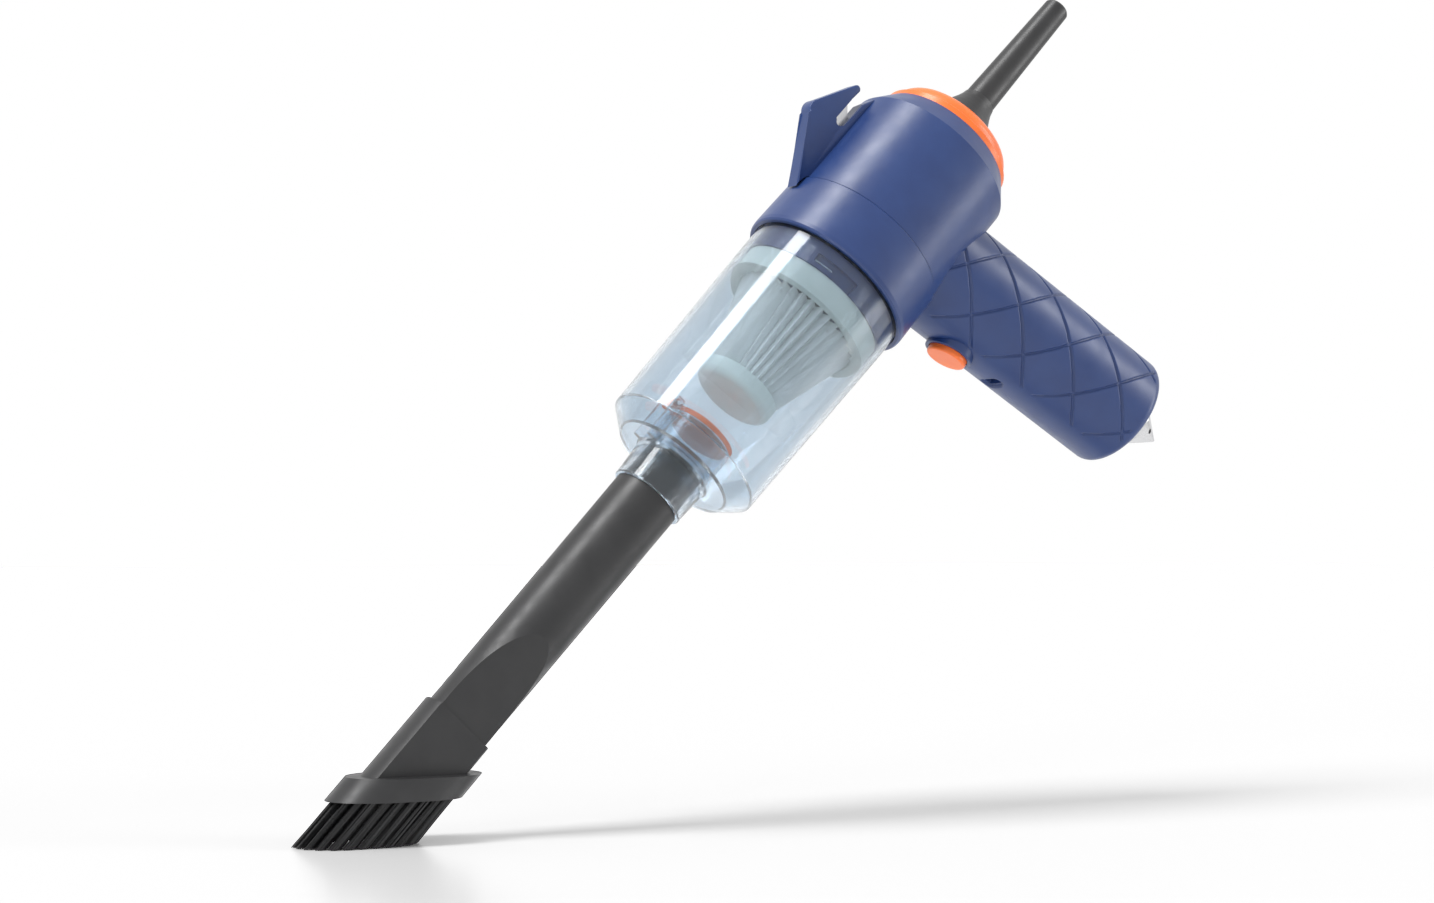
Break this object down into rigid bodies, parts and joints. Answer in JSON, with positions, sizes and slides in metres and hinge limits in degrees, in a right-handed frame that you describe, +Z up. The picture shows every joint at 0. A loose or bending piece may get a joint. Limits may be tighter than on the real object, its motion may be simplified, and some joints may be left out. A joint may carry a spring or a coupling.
{
  "type": "cordless hand vacuum and blower",
  "caption": "Pistol-grip hand vacuum with a clear dust cup, crevice tube and oval brush, a thin blower tube behind, a belt-cutting hook on top and a pointed window breaker on the grip.",
  "frame": {"origin": "centre of the flat brush sole, on the surface it rests on", "axes": "+Z up from the surface; +X the way the barrel leans and the blower points, level; +Y to the left of a user looking along +X"},
  "size_m": [0.3966, 0.0766, 0.3452],
  "materials": {
    "black_plastic": "satin",
    "bristle": "stiff nylon filament",
    "navy_plastic": "satin",
    "orange_plastic": "semi gloss",
    "clear_plastic": "clear, slightly smoky",
    "flap_rubber": "soft matte",
    "seal_rubber": "soft matte",
    "pale_plastic": "satin",
    "filter_media": "pleated fleece",
    "bright_steel": "ground",
    "motor_steel": "plated",
    "armature": "laminated stack with windings",
    "wire": "insulated wire",
    "board": "coated board",
    "cell_wrap": "shrink sleeve"
  },
  "bodies": {
    "housing": {"front_collar": "navy_plastic", "cup_seal": "seal_rubber", "intake_grille": "black_plastic", "fan_shroud": "black_plastic", "motor_mount": "black_plastic", "motor_can": "motor_steel", "motor_magnets": "motor_steel", "motor_bearings": "bright_steel", "motor_end_bell": "black_plastic", "motor_leads": "wire", "barrel_housing": "navy_plastic", "outlet_ring": "orange_plastic", "cutter_hook": "navy_plastic", "cutter_blade": "bright_steel", "grip_left": "navy_plastic", "grip_right": "navy_plastic", "grip_screws": "bright_steel", "power_switch": "bright_steel", "circuit_board": "board", "charging_socket": "bright_steel", "battery_cells": "cell_wrap", "cell_links": "bright_steel", "cell_holders": "black_plastic", "breaker_point": "bright_steel", "breaker_nut": "bright_steel", "filter_frame": "pale_plastic", "filter_gasket": "seal_rubber", "pleated_filter": "filter_media", "filter_cap": "pale_plastic"},
    "rotor": {"impeller": "black_plastic", "motor_shaft": "bright_steel", "motor_armature": "armature"},
    "button": {"power_button": "orange_plastic", "switch_plunger": "black_plastic"},
    "cup": {"dust_cup": "clear_plastic", "flap_pin": "bright_steel"},
    "flap": {"inlet_flap": "flap_rubber"},
    "tube": {"crevice_tube": "black_plastic"},
    "brush": {"brush_head": "black_plastic", "bristle_ring": "bristle"},
    "blower": {"outlet_cone": "black_plastic", "blower_tube": "black_plastic"}
  },
  "joints": [
    {"name": "fan_spin", "type": "hinge", "parent": "housing", "child": "rotor", "pos_m": [0.22506, 0, 0.24135], "axis": [0.682, 0, 0.7314], "continuous": true},
    {"name": "button_press", "type": "slide", "parent": "housing", "child": "button", "axis": [0.515, 0, 0.8572], "range_m": [0, 0.002], "stiffness_N_per_m": 600, "springref_m": -0.002},
    {"name": "cup_twist", "type": "hinge", "parent": "housing", "child": "cup", "pos_m": [0.1971, 0, 0.21136], "axis": [0.682, 0, 0.7314], "range_deg": [0, 18]},
    {"name": "inlet_flap_swing", "type": "hinge", "parent": "cup", "child": "flap", "pos_m": [0.13151, 0, 0.16669], "axis": [0, -1, 0], "range_deg": [0, 30]},
    {"name": "tube_pull", "type": "slide", "parent": "cup", "child": "tube", "axis": [-0.682, 0, -0.7314], "range_m": [0, 0.022]},
    {"name": "brush_pull", "type": "slide", "parent": "tube", "child": "brush", "axis": [-0.682, 0, -0.7314], "range_m": [0, 0.045]},
    {"name": "blower_pull", "type": "slide", "parent": "housing", "child": "blower", "axis": [0.682, 0, 0.7314], "range_m": [0, 0.016]}
  ]
}
